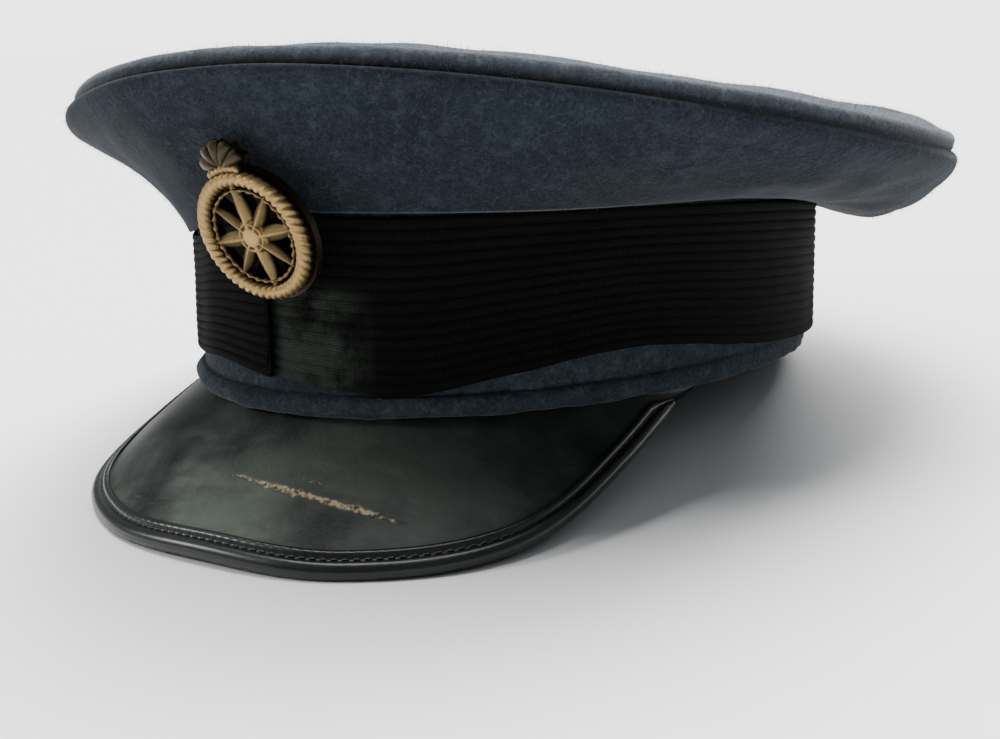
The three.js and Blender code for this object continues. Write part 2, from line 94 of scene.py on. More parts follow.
sky = bpy.data.worlds.new("daylight")
sky.use_nodes = True
paint = sky.node_tree
room_light = paint.nodes["Background"]
room_light.inputs["Color"].default_value = (0.93, 0.96, 1.0, 1)
room_light.inputs["Strength"].default_value = 0.25
wall = node(paint, "ShaderNodeBackground", {"Color": (1.0, 1.0, 1.0, 1), "Strength": 3.4})
seen = node(paint, "ShaderNodeMixShader", {
    0: node(paint, "ShaderNodeLightPath", {}).outputs["Is Camera Ray"],
    1: room_light.outputs[0], 2: wall.outputs[0]})
paint.links.new(seen.outputs[0], paint.nodes["World Output"].inputs["Surface"])
bpy.context.scene.world = sky


def daylight(name, from_, strength, softness):
    """Even light from one side of the room: a sun as wide as a window, in degrees."""
    light = bpy.data.lights.new(name, "SUN")
    light.energy = strength
    light.angle = np.radians(softness)
    in_the_scene(name, light).rotation_euler = Vector(from_).to_track_quat("Z", "Y").to_euler()


daylight("window_right", (-0.75, -0.45, 0.55), 1.5, 14)
daylight("window_behind", (-0.2, 0.9, 0.8), 7.0, 50)
daylight("skylight", (-0.2, 0.3, 1.0), 5.5, 45)

# ---------------------------------------------------------------- head band
# A stiffened band with wool cloth drawn over it, closed round the head. Its lower edge is a soft
# roll that shows below the black band. Everything else on the cap is sewn to it.

HEAD_HALF_WIDTH = 77.2  # mm, as all sizes here
HEAD_HALF_LENGTH = 101.6
BASE_THICKNESS = 3.0
BASE_TOP = 43.0
RIM_DROP = 4.0
RIM_SADDLE = 1.2
RIM_BULGE = 0.9
RIM_BULGE_FRONT = 1.7
RIM_BULGE_LEAST = 0.3
RIM_ROLL = 5.0
RIM_EDGE = 0.8
GAP = 0.3
RIM_STEPS, WALL_STEPS = 300, 12

TIP = np.radians(6.86699)  # the cap leans back by this, on its peak and the back of its rim
ORIGIN = np.array([0.0, 3.88162, 16.88984])  # where the head opening's centre then is


def on_the_table(points):
    """Turned back about the X axis by TIP, moved by ORIGIN, and nothing lower than the table:
    y' = y cos + z sin, z' = z cos - y sin. Millimetres become metres."""
    x, y, z = np.moveaxis(points, -1, 0)
    back = y * np.cos(TIP) + z * np.sin(TIP) + ORIGIN[1]
    up = np.maximum(z * np.cos(TIP) - y * np.sin(TIP) + ORIGIN[2], 0.0)
    return np.stack([x + ORIGIN[0], back, up], -1) / 1000


def beside_head(turn, out, height):
    """The head opening is an oval. The point is "out" from it along its normal, at a height.
    The turn is the angle from the front, growing towards the wearer's left."""
    x = HEAD_HALF_WIDTH * np.sin(turn)
    y = -HEAD_HALF_LENGTH * np.cos(turn)
    across, along = x / HEAD_HALF_WIDTH**2, y / HEAD_HALF_LENGTH**2
    size = np.hypot(across, along)
    return np.stack(np.broadcast_arrays(
        x + across / size * out, y + along / size * out, height), -1)


def rim_bottom(turn):
    """Height of the rim's bottom: lowest in front and behind, by a cosine of twice the turn."""
    return -RIM_DROP - RIM_SADDLE * np.cos(2 * turn)


def soft_waves(points, wavelength, seed):
    """Unevenness of cloth: the sum of sixteen plane sine waves in seeded random directions, with
    lengths from 0.6 to 1.7 times the wavelength, scaled to a spread of about one."""
    chance = np.random.default_rng(seed)
    total = np.zeros(points.shape[:-1])
    for _ in range(16):
        way = chance.normal(size=3)
        way *= 2 * np.pi / (wavelength * chance.uniform(0.6, 1.7) * np.linalg.norm(way))
        total += np.sin(points @ way + chance.uniform(0, 2 * np.pi))
    return total / np.sqrt(8)


def unit(ways):
    """Ways made one long."""
    return ways / np.maximum(np.linalg.norm(ways, axis=-1, keepdims=True), 1e-12)


def run_round(line):
    """How far along a closed line each point is, and the line's whole length."""
    links = np.linalg.norm(np.diff(line, axis=0, append=line[:1]), axis=1)
    return np.concatenate([[0], np.cumsum(links)])


def outward_normals(points, ring):
    """Normals of a grid of points: the cross product of its two central differences. A ring is
    closed along its first direction; sections are always closed."""
    if ring:
        along = np.roll(points, -1, 0) - np.roll(points, 1, 0)
    else:
        along = np.gradient(points, axis=0)
    over = np.roll(points, -1, 1) - np.roll(points, 1, 1)
    return unit(np.cross(along, over))


def sewn_surface(name, sections, ring, marks=()):
    """A closed mesh from closed sections: face k of section i joins points k and k + 1 of
    sections i and i + 1. A ring's last section joins its first; otherwise both ends are closed
    by a fan about the section's middle. The UV map runs in metres along the sections' first
    points and round the section. Marks are numbers for each point, kept as attributes."""
    rows, size = sections.shape[:2]
    spans = rows if ring else rows - 1
    i, k = np.meshgrid(np.arange(spans), np.arange(size), indexing="ij")
    i2, k2 = (i + 1) % rows, (k + 1) % size
    corners = np.stack([i * size + k, i2 * size + k, i2 * size + k2, i * size + k2], -1)
    corners = corners.reshape(-1, 4)
    points = sections.reshape(-1, 3)
    a, b, c, d = (points[corners[:, n]] for n in range(4))
    inside_out = np.einsum("ij,ij->", a, np.cross(b, c) + np.cross(c, d)) < 0

    run, round_it = run_round(sections[:, size // 4]), run_round(sections[rows // 2])
    u = np.stack([run[i], run[i + 1], run[i + 1], run[i]], -1).reshape(-1, 4)
    v = np.stack([round_it[k], round_it[k], round_it[k + 1], round_it[k + 1]], -1).reshape(-1, 4)
    if inside_out:
        corners, u, v = corners[:, ::-1], u[:, ::-1], v[:, ::-1]
    loops = [corners.ravel()]
    uv = [np.stack([u, v], -1).reshape(-1, 2)]
    totals = [np.full(len(corners), 4)]
    values = dict(marks)
    if not ring:
        n = len(points)
        points = np.concatenate([points, sections[[0, -1]].mean(1)])
        ks = np.arange(size)
        for end, start in ((0, 0), (1, (rows - 1) * size)):
            fan = np.stack([np.full(size, n + end), start + ks, start + (ks + 1) % size], -1)
            if (end == 0) == bool(inside_out):
                fan = fan[:, ::-1]
            loops.append(fan.ravel())
            uv.append(np.tile([run[-2] * end, 0.0], (size * 3, 1)))
            totals.append(np.full(size, 3))
        values = {key: np.concatenate([value.ravel(), [0, 0]]) for key, value in values.items()}
    loops, totals = np.concatenate(loops), np.concatenate(totals)

    mesh = bpy.data.meshes.new(name)
    mesh.vertices.add(len(points))
    mesh.vertices.foreach_set("co", points.ravel())
    mesh.loops.add(len(loops))
    mesh.loops.foreach_set("vertex_index", loops)
    mesh.polygons.add(len(totals))
    mesh.polygons.foreach_set("loop_start", np.concatenate([[0], np.cumsum(totals)[:-1]]))
    mesh.polygons.foreach_set("loop_total", totals)
    mesh.polygons.foreach_set("use_smooth", np.ones(len(totals), bool))
    mesh.update(calc_edges=True)
    mesh.uv_layers.new(name="cut").data.foreach_set("uv", np.concatenate(uv).ravel())
    for key, value in values.items():
        mesh.attributes.new(key, "FLOAT", "POINT").data.foreach_set("value", value.ravel())
    return in_the_scene(name, mesh)


def mix(tree, share, first, second):
    """A blend of two colours by a share."""
    return node(tree, "ShaderNodeMix", {0: share, 6: first, 7: second}, data_type="RGBA").outputs[2]


def steps(tree, value, low, high, most=1.0):
    """A value taken from between low and high to between 0 and the most, smoothly."""
    return node(tree, "ShaderNodeMapRange", {
        "Value": value, "From Min": low, "From Max": high, "To Max": most},
        interpolation_type="SMOOTHSTEP").outputs["Result"]


def between(tree, share, low, high):
    """A share from 0 to 1 taken evenly to between low and high."""
    return node(tree, "ShaderNodeMapRange", {
        "Value": share, "To Min": low, "To Max": high}).outputs["Result"]


def sums(tree, kind, first, *others):
    """Arithmetic on some values, taken in their order."""
    for value in others:
        first = node(tree, "ShaderNodeMath", {0: first, 1: value}, operation=kind).outputs[0]
    return first


def plus(tree, *values):
    """The sum of some values."""
    return sums(tree, "ADD", *values)


def times(tree, *values):
    """The product of some values."""
    return sums(tree, "MULTIPLY", *values)


def place_in(tree):
    """Where a point is on the cap, in metres."""
    return node(tree, "ShaderNodeTexCoord", {}).outputs["Object"]


def mark(tree, name):
    """A number kept with the points of the mesh."""
    return node(tree, "ShaderNodeAttribute", {}, attribute_name=name).outputs["Fac"]


def noise(tree, where, scale, detail=4.0, rough=0.55):
    """Cloudy noise, with the scale in clouds to the metre."""
    return node(tree, "ShaderNodeTexNoise", {
        "Vector": where, "Scale": scale, "Detail": detail, "Roughness": rough}).outputs["Fac"]


def streaks(tree, where, turned, scale, detail, rough=0.55):
    """Noise turned by angles and drawn out, with a scale of its own each way."""
    drawn = node(tree, "ShaderNodeMapping", {"Vector": where, "Rotation": turned, "Scale": scale})
    return noise(tree, drawn.outputs[0], 1.0, detail, rough)


def effect(name, colours, values=()):
    """An empty node group and what it is given: named colours and values. It hands out a colour,
    a roughness and a height."""
    tree = bpy.data.node_groups.new(name, "ShaderNodeTree")
    colour, value = "NodeSocketColor", "NodeSocketFloat"
    for way, kind, keys in (("INPUT", colour, colours), ("INPUT", value, values),
                            ("OUTPUT", colour, ["Colour"]), ("OUTPUT", value, ["Roughness", "Height"])):
        for key in keys:
            tree.interface.new_socket(key, in_out=way, socket_type=kind)
    return tree, tree.nodes.new("NodeGroupInput").outputs


def hand_out(tree, colour, roughness, height):
    """Three values go out of an effect."""
    node(tree, "NodeGroupOutput", {"Colour": colour, "Roughness": roughness, "Height": height})


# Milled wool: a felted ground with short fibres lying about in it, darker where the nap is thin,
# lighter where fibres stand up, and nearly black along a seam, where shade is painted into it.
felt, given = effect("milled_wool", ("Cloth", "Thin", "Fibre"))
place = place_in(felt)
worn = noise(felt, place, 28.0, 3.0, 0.6)
tufts = noise(felt, place, 240.0, 3.0, 0.6)
grit = noise(felt, place, 900.0, 2.0, 0.7)
curls = node(felt, "ShaderNodeTexNoise", {"Vector": place, "Scale": 130.0, "Detail": 2.0})
bent = node(felt, "ShaderNodeVectorMath", {0: place, 1: curls.outputs["Color"], 2: (0.009,) * 3},
            operation="MULTIPLY_ADD").outputs[0]
bent = node(felt, "ShaderNodeVectorMath", {0: place, 1: bent}).outputs[0]
fibres = streaks(felt, bent, (0.5, 0.3, 0.8), (800.0, 280.0, 560.0), 2.0, 0.6)
crossed = streaks(felt, place, (-0.7, 0.9, -0.4), (290.0, 820.0, 600.0), 2.0, 0.6)
ground = mix(felt, steps(felt, worn, 0.62, 0.32, 0.42), given["Cloth"], given["Thin"])
ground = mix(felt, steps(felt, tufts, 0.46, 0.7, 0.38), ground, given["Fibre"])
strands = sums(felt, "MAXIMUM", steps(felt, fibres, 0.56, 0.72), steps(felt, crossed, 0.58, 0.74))
strands = times(felt, strands, 0.62)
ground = mix(felt, strands, ground, given["Fibre"])
ground = mix(felt, steps(felt, grit, 0.52, 0.34, 0.55), ground, given["Thin"])
# painted shade: the colour goes nearly black where the seam mark is set, as the shade in the seam's furrow
ground = mix(felt, mark(felt, "painted_seam_shade"), ground, (0.0035, 0.0045, 0.006, 1))
hand_out(felt, ground, between(felt, tufts, 0.86, 1.0), plus(
    felt, times(felt, grit, 0.5), times(felt, strands, 0.12), times(felt, tufts, 0.5)))


def finish(name, group, values, depth, **surface):
    """A material: an effect's colour and roughness go to the surface, and its height bumps it by
    a depth in metres. A value is a number, a colour or the name of a mark. The rest is set on the
    surface itself."""
    material, tree, inputs = new_material(name, **surface)
    looks = node(tree, "ShaderNodeGroup", {
        key: mark(tree, value) if isinstance(value, str) else value
        for key, value in values.items()}, node_tree=group).outputs
    bump = node(tree, "ShaderNodeBump", {"Height": looks["Height"], "Distance": depth})
    tree.links.new(looks["Colour"], inputs["Base Color"])
    tree.links.new(looks["Roughness"], inputs["Roughness"])
    tree.links.new(bump.outputs["Normal"], inputs["Normal"])
    return material


def woollen(name, cloth, thin, fibre, depth, sheen, sheen_roughness):
    """Milled wool in three colours, with its sheen."""
    return finish(name, felt, {"Cloth": cloth, "Thin": thin, "Fibre": fibre}, depth,
                  Sheen_Weight=sheen, Sheen_Roughness=sheen_roughness, Specular_IOR_Level=0.05)


turn = np.linspace(0, 2 * np.pi, RIM_STEPS, endpoint=False)[:, None]
bottom = rim_bottom(turn)
bulge = np.maximum(RIM_BULGE + RIM_BULGE_FRONT * np.cos(turn), RIM_BULGE_LEAST)
roll = np.pi * (0.5 - np.linspace(0, 1, 17))
# distances out and heights: up the inside, down the outside, round the roll and in under it
profile = [
    (0.0, bottom + RIM_EDGE + np.linspace(0, 1, WALL_STEPS) * (BASE_TOP - bottom - RIM_EDGE)),
    (BASE_THICKNESS, bottom + RIM_ROLL + 1
     + np.linspace(1, 0, WALL_STEPS) * (BASE_TOP - bottom - RIM_ROLL - 1)),
    (BASE_THICKNESS + bulge * np.cos(roll), bottom + RIM_ROLL / 2 * (1 + np.sin(roll))),
    (np.array([2.0, 1.2, 0.5]), bottom + np.array([0.0, 0.05, 0.35]))]
sections = beside_head(turn, np.hstack([np.broadcast_to(out, up.shape) for out, up in profile]),
                       np.hstack([up for _, up in profile]))
uneven = 0.16 * soft_waves(sections, 16, 3) + 0.05 * soft_waves(sections, 5, 4)
below_strip = np.clip((RIM_ROLL + bottom + 1.0 - sections[..., 2]) / 3, 0, 1)
sections += outward_normals(sections, True) * (uneven * below_strip)[..., None]
rim = sewn_surface("head_band_cover", on_the_table(sections), True)
# painted light: a paler copy of the crown's wool for the rim, lifting it out of the shade under the black
# band
painted_light_rim_wool = woollen("painted_light_rim_wool", (0.017, 0.022, 0.028, 1), (0.007, 0.010, 0.013, 1),
                   (0.046, 0.056, 0.068, 1), 0.0005, 0.15, 0.3)
rim.data.materials.append(painted_light_rim_wool)
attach(rim, "root")
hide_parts("band_base")

# ---------------------------------------------------------------- crown side
# Milled wool cut as a flared ring, made here without upright seams. Its lower edge is sewn to the
# top of the head band and its upper edge, turned in with a raised welt, to the top panel.

CLOTH = 2.0
SEAM_HALF_WIDTH, SEAM_HALF_LENGTH = 121.0, 119.0
SEAM_SHIFT = -4.6
SEAM_HEIGHT = 59.8
SEAM_PITCH = 7.8
SEAM_SADDLE = 6.0
TOP_DOME = 2.2
TOP_SHOULDER = 7.8
SHOULDER_SLOUCH = 1.0
SHOULDER_ROUND = 13
CROWN_STEPS = 360
TURNED_IN = 1.6  # both cloths' edges, in and down from the seam
PRESSED_POINTS = 16  # of the lining, next to the seam, kept below the top panel's edge
WELT_HEIGHT, WELT_IN, WELT_SPREAD = 0.5, 2.2, 1.4
# degrees from the front where the crown is fullest, and how full
CORNERS = ((-225, 1), (-135, 1), (-75, 0.5), (135, 1), (225, 1))
CORNER_SPREAD = 36
CORNER_WIDER, CORNER_HIGHER = 0.01, 5.0


def columns(names, *rows):
    """A table's rows as named columns."""
    return dict(zip(names.split(), np.array(rows, float).T))


# At degrees from the front: the foot's height, the point "out" and "rise" from it that the cloth
# leaves towards, and the point "bulge" outside the seam and "lift" above it that it comes from.
CROWN_SIDE = columns(
    "at foot out rise bulge lift",
    (-180, 42.0, 16, -20, 15, -2), (-150, 42.0, 18, -22, 12, -3), (-115, 42.0, 20, -22, 10, -4),
    (-80, 40.5, 18, -2, 10, -4), (-52, 37.4, 7.5, 14.5, 11, -6), (-32, 36.6, 6, 16.5, 11, -5),
    (-12, 40.8, 8, 14, 9, -2), (0, 42.2, 10, 12, 9, 0), (12, 41.8, 11, 11, 9, -1),
    (40, 41.4, 14, 9, 9, -3), (70, 42.0, 16, 1, 9, -5), (90, 42.3, 18, -8, 9, -5),
    (115, 42.0, 20, -22, 10, -5), (150, 42.0, 18, -22, 12, -3), (180, 42.0, 16, -20, 15, -2))


def smooth_rows(rows, name, at):
    """A table's named column at any angles: between two rows a cubic, whose slope at each row is
    that of the straight line between the rows on either side."""
    x, y = rows["at"], rows[name]
    before = np.maximum(np.arange(len(x)) - 1, 0)
    after = np.minimum(np.arange(len(x)) + 1, len(x) - 1)
    slope = (y[after] - y[before]) / (x[after] - x[before])
    row = np.clip(np.searchsorted(x, at) - 1, 0, len(x) - 2)
    span = x[row + 1] - x[row]
    s = (at - x[row]) / span
    bend = (slope[row] * (1 - s) - slope[row + 1] * s) * span * s * (1 - s)
    return y[row] + (y[row + 1] - y[row]) * s * s * (3 - 2 * s) + bend


def bell(at, middle, spread):
    """A bell curve, exp(-((at - middle) / spread)^2)."""
    return np.exp(-((at - middle) / spread)**2)


def graded(*stretches):
    """Stretches of even steps joined, each given by its start, its end and its count."""
    return np.concatenate([np.linspace(*each)[:-1] for each in stretches] + [[stretches[-1][1]]])


def fullness(turn):
    """How near a turn is to one of the crown's full corners: a sum of bell curves."""
    at = (np.degrees(turn) + 180) % 360 - 180
    return sum(full * bell(at, corner, CORNER_SPREAD) for corner, full in CORNERS)


def top_height(turn, share):
    """Height of the top panel at a share of the way from its middle to the seam: a tilted saddle,
    plus a dome, plus a shoulder that turns down close to the seam as sqrt(1 - share^13) and is
    higher at the full corners."""
    lean = SEAM_PITCH * np.cos(turn) * share
    saddle = SEAM_SADDLE * np.cos(2 * turn) * share**2
    shoulder = (TOP_SHOULDER - SHOULDER_SLOUCH * np.cos(turn) * share
                + CORNER_HIGHER * fullness(turn) * share**2)
    rounded = np.sqrt(np.maximum(1 - share**SHOULDER_ROUND, 0))
    return SEAM_HEIGHT + lean + saddle + TOP_DOME * (1 - share**2) + shoulder * rounded


def section_normals(line):
    """Left-hand normals of lines in their own planes, from central differences."""
    way = unit(np.gradient(line, axis=1))
    return np.stack([-way[..., 1], way[..., 0]], -1)


wool = woollen("wool", (0.012, 0.016, 0.021, 1), (0.005, 0.007, 0.010, 1),
               (0.032, 0.039, 0.048, 1), 0.0003, 0.1, 0.3)
turn = np.linspace(-np.pi, np.pi, CROWN_STEPS, endpoint=False)
foot_height, out, rise, bulge, lift = (
    smooth_rows(CROWN_SIDE, name, np.degrees(turn)) for name in "foot out rise bulge lift".split())
steep = np.maximum(rise, 0) / np.hypot(out, rise)
foot_height = foot_height - 1.4 * bell(np.degrees(turn), -30, 20)
foot = beside_head(turn, BASE_THICKNESS + GAP + CLOTH * steep, foot_height)
wider = 1 + CORNER_WIDER * fullness(turn)
seam = np.stack([SEAM_HALF_WIDTH * np.sin(turn) * wider,
                 SEAM_SHIFT - SEAM_HALF_LENGTH * np.cos(turn) * wider,
                 top_height(turn, np.ones_like(turn))], -1)
outward = seam[:, :2] - foot[:, :2]
reach = np.linalg.norm(outward, axis=1)
outward /= reach[:, None]
bends = np.stack([
    np.stack([np.zeros_like(turn), foot[:, 2]], -1),
    np.stack([out, foot[:, 2] + rise], -1),
    np.stack([reach + bulge, seam[:, 2] + lift], -1),
    np.stack([reach + GAP / 2, seam[:, 2] - GAP / 2], -1)])
t = graded((0, 0.86, 45), (0.86, 1, 27))[:, None]
sweep = ((1 - t)**3 * bends[0][:, None] + 3 * t * (1 - t)**2 * bends[1][:, None]
         + 3 * t * t * (1 - t) * bends[2][:, None] + t**3 * bends[3][:, None])
step = np.linalg.norm(np.diff(sweep, axis=1), axis=-1)
from_seam = np.concatenate([np.cumsum(step[:, ::-1], 1)[:, ::-1], np.zeros((CROWN_STEPS, 1))], 1)
side = section_normals(sweep)
welt = (WELT_HEIGHT * np.cos(turn)**2)[:, None] * bell(from_seam, WELT_IN, WELT_SPREAD)
waves = 0.25 * soft_waves(seam, 55, 11)[:, None] * np.exp(-from_seam / 22)
loose = np.clip(from_seam / 12, 0, 1) * np.clip(np.arange(len(t)) / 14, 0, 1)
in_front = bell(np.degrees(turn), 25, 60)[:, None]
slope = in_front * bell(from_seam, 11, 6.5)
body = sweep - side * (welt - slope + waves * np.clip(from_seam / 3, 0, 1))[..., None]
lining = sweep + side * CLOTH
below_top = sweep[:, -1:] + [0, -GAP / 2]
pressed = below_top[..., 1] + np.minimum(lining[:, -PRESSED_POINTS:, 0] - below_top[..., 0], 0)
lining[:, -PRESSED_POINTS:, 1] = np.minimum(lining[:, -PRESSED_POINTS:, 1], pressed)
lining[:, -1] = sweep[:, -1] - TURNED_IN


def round_the_head(line):
    """A line of distances from the foot and heights, turned into points beside each foot."""
    flat = foot[:, None, :2] + outward[:, None, :] * line[..., :1]
    return np.concatenate([flat, line[..., 1:]], -1)


outside = round_the_head(body)
slack = (0.4 * soft_waves(outside, 48, 12) + 0.15 * soft_waves(outside, 17, 13)) * loose
normals = unit(np.cross(np.roll(outside, -1, 0) - np.roll(outside, 1, 0),
                        np.gradient(outside, axis=1)))
outside = outside + normals * slack[..., None]
inside = round_the_head(lining) + normals * slack[..., None]
sections = np.concatenate([outside, inside[:, ::-2]], 1)
# painted shade: the side's wool is darkened to nearly black next to the seam, for the shade in its furrow
painted_seam_shade = np.zeros(sections.shape[:2])
painted_seam_shade[:, :len(t)] = 0.85 * bell(from_seam, 0, 1.3)
crown_side = sewn_surface("crown_side_cloth", on_the_table(sections), True, {"painted_seam_shade": painted_seam_shade})
crown_side.data.materials.append(wool)
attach(crown_side, "root")
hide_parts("crown_side")

# ---------------------------------------------------------------- crown top
# A flat oval of the same wool, in a paler copy of it whose colour is painted light, standing in for
# the light from above and behind on its nap. Its edge is turned down and sewn to the side panels'
# welt, so the cloth rolls over in a soft shoulder.

turn = np.linspace(0, 2 * np.pi, CROWN_STEPS, endpoint=False)[:, None]
share = np.concatenate([graded((0.015, 0.8, 26), (0.8, 0.96, 14)),
                        1 - 0.04 * (1 - np.linspace(0, 1, 20)[1:])**2])
wider = 1 + CORNER_WIDER * fullness(turn)
rim_x, rim_y = SEAM_HALF_WIDTH * np.sin(turn) * wider, -SEAM_HALF_LENGTH * np.cos(turn) * wider
radius = np.hypot(rim_x, rim_y)
rise = top_height(turn, share)
over = np.stack(np.broadcast_arrays(share * (radius - GAP / 2), rise), -1)
over[:, -1, 1] += GAP / 2
leaning = section_normals(over)
below = over - leaning * CLOTH
below[:, -1] = over[:, -1] - TURNED_IN
below[:, -4:-1] = np.minimum(below[:, -4:-1], below[:, -1:] + [0, 9])
to_seam = np.linalg.norm(over - over[:, -1:], axis=-1)
rolled = (0.9 * bell(to_seam, 3.2, 2.0) + 1.3 * np.sin(turn)**2 * bell(to_seam, 1.6, 2.6)
          - 0.2 * bell(to_seam, 0.9, 0.6))
around = np.concatenate([rim_x / radius, rim_y / radius], 1)


def round_the_top(line):
    """A line of distances from the top's middle and heights, turned all the way round."""
    flat = around[:, None, :] * line[..., :1] + [0, SEAM_SHIFT]
    return np.concatenate([flat, line[..., 1:]], -1)


upper = round_the_top(over + leaning * rolled[..., None])
slack = 0.25 * soft_waves(upper, 70, 21) + 0.2 * soft_waves(upper, 20, 22)
slack *= np.clip(to_seam / 14, 0, 1)
upper[..., 2] += slack
lower = round_the_top(below)
lower[..., 2] += slack
sections = np.concatenate([upper, lower[:, ::-1]], 1)
# both faces close over the middle with one point each
for column in (0, -1):
    sections[:, column] = sections[:, column].mean(0)
# painted shade: the top's wool is darkened to nearly black next to the seam, for the shade in its furrow
painted_seam_shade = np.zeros(sections.shape[:2])
painted_seam_shade[:, :upper.shape[1]] = 0.9 * bell(to_seam, 0, 1.7)
crown_top = sewn_surface("crown_top_cloth", on_the_table(sections), True, {"painted_seam_shade": painted_seam_shade})
# painted light: a paler copy of the crown's wool, for the light that falls on the top from above and
# behind
painted_light_top_wool = woollen("painted_light_top_wool", (0.056, 0.066, 0.080, 1), (0.024, 0.030, 0.039, 1),
                     (0.125, 0.140, 0.160, 1), 0.0003, 0.15, 0.35)
crown_top.data.materials.append(painted_light_top_wool)
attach(crown_top, "root")
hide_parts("crown_top")

# ---------------------------------------------------------------- raised nap
# Milling leaves a nap of short wool fibres standing out of the cloth. It shows as a soft haze
# along the crown's edges and on the rim.

NAP_LENGTH = (0.8, 3.4)
NAP_WIDTH = 0.05
SIDE_FIBRES, RIM_FIBRES, TOP_FIBRES = 44000, 16000, 40000


def nap_on(piece, count, chance):
    """Fibres rooted evenly by area on the outer faces of a piece. Each is a ribbon of two links:
    root, middle = root + normal part + sideways part, tip bent over further sideways."""
    mesh = piece.data
    co = np.empty(len(mesh.vertices) * 3, np.float32)
    mesh.vertices.foreach_get("co", co)
    co = co.reshape(-1, 3).astype(float) * 1000
    quads = np.empty(len(mesh.loops), np.int32)
    mesh.loops.foreach_get("vertex_index", quads)
    quads = quads.reshape(-1, 4)
    a, b, c, d = (co[quads[:, n]] for n in range(4))
    area = np.cross(c - a, d - b) / 2
    size = np.linalg.norm(area, axis=1)
    normal = area / np.maximum(size, 1e-9)[:, None]
    middle = (a + c) / 2
    away = middle - [0, 4, 52]
    size = size * (np.einsum("ij,ij->i", normal, away / [1, 1, 0.5]) > 0)
    face = chance.choice(len(size), count, p=size / size.sum())
    s, r = chance.random((2, count, 1))
    root = a[face] * (1 - s) * (1 - r) + b[face] * s * (1 - r) + c[face] * s * r + d[face] * (1 - s) * r
    n = normal[face]
    sideways = unit(np.cross(n, chance.normal(size=(count, 3))))
    length = chance.uniform(*NAP_LENGTH, (count, 1)) * chance.uniform(0.4, 1.0, (count, 1))
    stand = 0.05 + 0.85 * chance.random((count, 1))**2
    knee = root + (n * stand + sideways * (1 - stand)) * length * 0.5
    curl = np.cross(n, sideways) * chance.normal(0, 1.0, (count, 1))
    tip = knee + (n * stand * 0.4 + sideways + curl) * length * 0.4
    root = root - n * 0.1
    flat = np.cross(n, sideways) * NAP_WIDTH / 2
    fibre = np.stack([root - flat, root + flat, knee - flat, knee + flat, tip], 1)
    fibre[..., 2] = np.maximum(fibre[..., 2], 0)
    return fibre


def mottled(name, scale, dark, light, **surface):
    """A material in clouds of two colours, with the scale in clouds to the metre."""
    material, tree, inputs = new_material(name, **surface)
    tree.links.new(mix(tree, noise(tree, place_in(tree), scale), dark, light), inputs["Base Color"])
    return material


chance = np.random.default_rng(7)
for name, fibres, dark, light in (
        ("nap", np.concatenate([nap_on(crown_side, SIDE_FIBRES, chance), nap_on(rim, RIM_FIBRES, chance)]),
         (0.022, 0.027, 0.034, 1), (0.072, 0.083, 0.097, 1)),
        # painted light: the top panel's fibres are paler than the rest, for the light from above and
        # behind
        ("painted_light_top_nap", nap_on(crown_top, TOP_FIBRES, chance),
         (0.040, 0.047, 0.058, 1), (0.110, 0.123, 0.140, 1))):
    base = np.arange(len(fibres))[:, None] * 5
    faces = np.stack([base + [0, 1, 3], base + [0, 3, 2], base + [2, 3, 4]], 1).reshape(-1, 3)
    mesh = bpy.data.meshes.new(name)
    mesh.from_pydata((fibres.reshape(-1, 3) / 1000).tolist(), [], faces.tolist())
    nap = in_the_scene(name, mesh)
    nap.data.materials.append(
        mottled(name, 300.0, dark, light, Roughness=0.9, Specular_IOR_Level=0.05))
    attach(nap, "root")

# ---------------------------------------------------------------- black band
# A strip of ribbed black mohair braid, wound once round the head band from the wearer's right by
# the left, its end lapped over its start in front. It wanders up and down, and has faded beside
# the lap.

STRIP_THICKNESS = 1.2
STRIP_START, STRIP_END = -14.0, 359.0
STRIP_LIFT = (332.0, 344.0)
SLIDER_ROOM = 9.0
SLIDER_THICKNESS = 0.6
RIBS = 15
RIB_DEPTH = 0.42
STRIP_EDGE = columns(
    "at low top stand_off",
    (-30, 5.0, 34.6, 0), (-15, 6.0, 37.6, 0), (0, 3.7, 40.5, 0), (21, 0.5, 40.6, 0),
    (38, 5.2, 41.0, 0), (57, 8.8, 41.2, 0), (83, 4.3, 40.6, 0.6), (115, 0.8, 38.2, 1.7),
    (140, 0.8, 37.2, 1.5), (180, 1.5, 37.2, 1.0), (250, 4.0, 38.4, 0.2), (300, 4.6, 35.8, 0),
    (330, 4.8, 34.6, 0), (345, 6.4, 37.6, 0), (360, 3.7, 40.5, 0))

at = np.linspace(STRIP_START, STRIP_END, 560)[:, None]
from_front = np.where(at > 180, at - 360, at)
lapped = np.clip((at - STRIP_LIFT[0]) / (STRIP_LIFT[1] - STRIP_LIFT[0]), 0, 1)
stand_off = (GAP + smooth_rows(STRIP_EDGE, "stand_off", at)
             + (SLIDER_THICKNESS + GAP * 2) * bell(from_front, 0, SLIDER_ROOM)
             + lapped**2 * (3 - 2 * lapped) * (STRIP_THICKNESS + GAP))
low, top = smooth_rows(STRIP_EDGE, "low", at), smooth_rows(STRIP_EDGE, "top", at)
across = np.linspace(0, 1, RIBS * 8 + 1)
ridge = np.abs(np.sin(np.pi * RIBS * across))**0.6
face = BASE_THICKNESS + stand_off + STRIP_THICKNESS - RIB_DEPTH * (1 - ridge)
behind = np.linspace(1, 0, 6)
out = np.hstack([face, BASE_THICKNESS + stand_off + 0 * behind])
up = np.hstack([low + (top - low) * across, low + (top - low) * behind])
sections = beside_head(np.radians(at), out, up)
bulging = 0.16 * soft_waves(sections, 30, 31) * (np.arange(len(out[0])) < len(face[0]))
cut_end = np.clip((at - STRIP_END + 1.2) / 1.2, 0, 1)
fray = 0.35 * soft_waves(sections * [0, 0, 1], 3, 32) * cut_end
